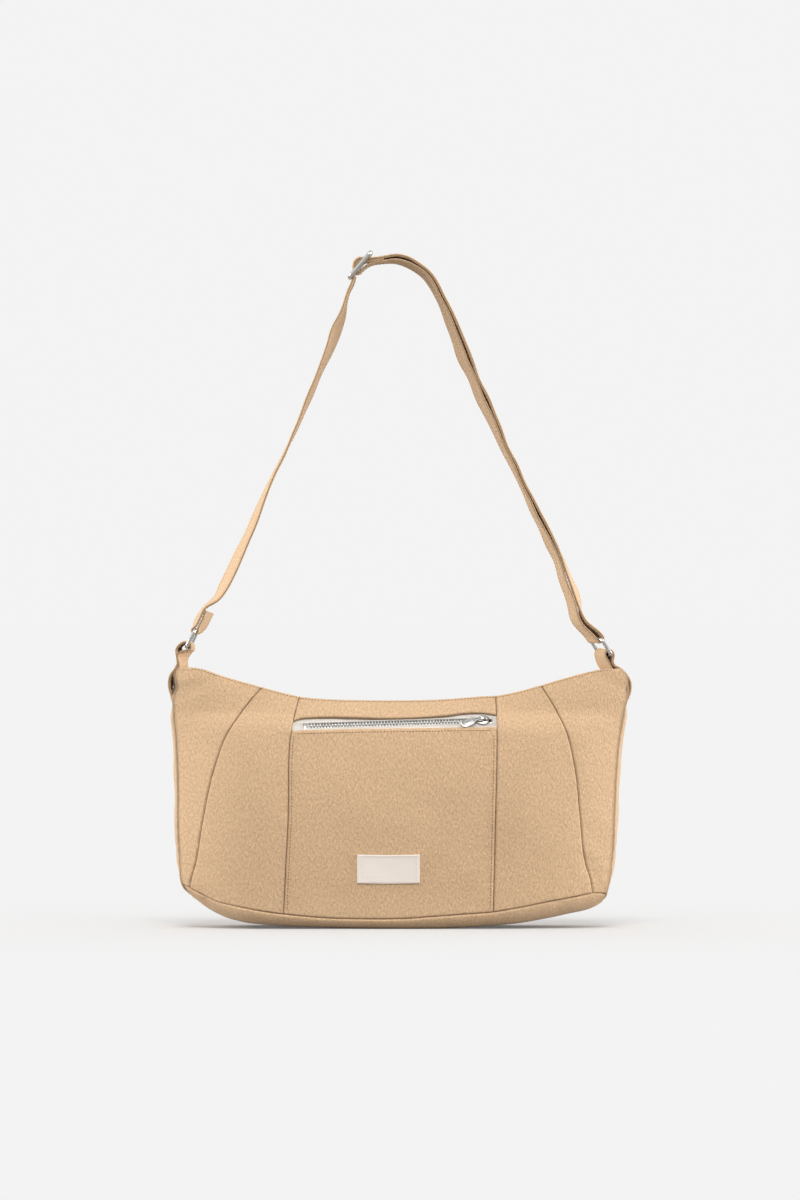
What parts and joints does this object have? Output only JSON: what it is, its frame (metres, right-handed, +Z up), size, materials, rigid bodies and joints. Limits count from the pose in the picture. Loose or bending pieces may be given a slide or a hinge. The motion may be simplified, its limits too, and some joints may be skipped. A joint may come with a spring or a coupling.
{
  "type": "crossbody bag",
  "caption": "Soft canvas crossbody bag with a zipped front pocket, a zipped top, metal rings and an adjustable shoulder strap, standing on its base with the strap raised.",
  "frame": {"origin": "on the floor under the middle of the bag, at the bottom centre of the whole object's box", "axes": "+Z up along the raised strap, +X to the right along the bag's width, and the front with the pocket faces -Y"},
  "size_m": [0.3758, 0.0951, 0.554],
  "materials": {
    "canvas": "matt sand-coloured cotton canvas",
    "lining": "matt plain cotton lining",
    "zip_tape": "matt white woven tape",
    "label": "bare cream woven label",
    "metal": "polished nickel-plated metal"
  },
  "bodies": {
    "bag": {"front_pocket_panel": "canvas", "front_top_band": "canvas", "front_left_panel": "canvas", "front_right_panel": "canvas", "front_left_end_panel": "canvas", "front_right_end_panel": "canvas", "back_centre_panel": "canvas", "back_left_panel": "canvas", "back_right_panel": "canvas", "back_left_end_panel": "canvas", "back_right_end_panel": "canvas", "base_panel": "canvas", "left_side_gusset": "canvas", "right_side_gusset": "canvas", "left_tab": "canvas", "right_tab": "canvas", "label": "label", "main_lining": "lining", "pocket_bag": "lining", "pocket_zip_upper_tape": "zip_tape", "pocket_zip_lower_tape": "zip_tape", "top_zip_front_tape": "zip_tape", "top_zip_back_tape": "zip_tape", "pocket_zip_upper_teeth": "metal", "pocket_zip_lower_teeth": "metal", "top_zip_front_teeth": "metal", "top_zip_back_teeth": "metal", "pocket_zip_upper_top_stop": "metal", "pocket_zip_lower_top_stop": "metal", "pocket_zip_bottom_stop": "metal", "top_zip_front_top_stop": "metal", "top_zip_back_top_stop": "metal", "top_zip_bottom_stop": "metal"},
    "strap": {"strap_left_leg": "canvas", "strap_weave": "canvas", "strap_outer_run": "canvas", "strap_inner_run": "canvas"},
    "left_ring": {"left_ring": "metal"},
    "right_ring": {"right_ring": "metal"},
    "adjuster": {"strap_adjuster": "metal", "strap_sewn_end": "canvas"},
    "pocket_slider": {"pocket_zip_slider": "metal"},
    "pocket_puller": {"pocket_zip_puller": "metal"},
    "top_slider": {"top_zip_slider": "metal"},
    "top_puller": {"top_zip_puller": "metal"}
  },
  "joints": [
    {"name": "strap_swing", "type": "hinge", "parent": "bag", "child": "strap", "pos_m": [-0.0011, 0, 0.23305], "axis": [0.9998, 0, -0.0209], "range_deg": [-110, 110], "deforming": ["left_tab", "right_tab"]},
    {"name": "left_ring_turn", "type": "hinge", "parent": "strap", "child": "left_ring", "pos_m": [-0.16751, 0, 0.2437], "axis": [0, 1, 0], "range_deg": [-20, 20], "deforming": ["left_tab"]},
    {"name": "right_ring_turn", "type": "hinge", "parent": "strap", "child": "right_ring", "pos_m": [0.16476, 0, 0.23628], "axis": [0, 1, 0], "range_deg": [-20, 20], "deforming": ["right_tab"]},
    {"name": "adjuster_slide", "type": "slide", "parent": "strap", "child": "adjuster", "axis": [-0.3147, 0, -0.9492], "range_m": [0, 0.01], "deforming": ["strap_weave"]},
    {"name": "pocket_zip_slide", "type": "slide", "parent": "bag", "child": "pocket_slider", "axis": [-0.9994, -0.0203, -0.0297], "range_m": [0, 0.138], "deforming": ["pocket_zip_upper_teeth", "pocket_zip_lower_teeth"]},
    {"name": "pocket_puller_flip", "type": "hinge", "parent": "pocket_slider", "child": "pocket_puller", "pos_m": [0.06733, -0.03146, 0.17125], "axis": [-0.0359, 0.5643, 0.8248], "range_deg": [0, 170]},
    {"name": "top_zip_travel", "type": "hinge", "parent": "bag", "child": "top_slider", "pos_m": [0, 0, 0.77313], "axis": [0, 1, 0], "range_deg": [0, 27.6], "deforming": ["top_zip_front_teeth", "top_zip_back_teeth"]},
    {"name": "top_puller_flip", "type": "hinge", "parent": "top_slider", "child": "top_puller", "pos_m": [0.14215, 0, 0.19569], "axis": [0, 1, 0], "range_deg": [0, 170]}
  ]
}
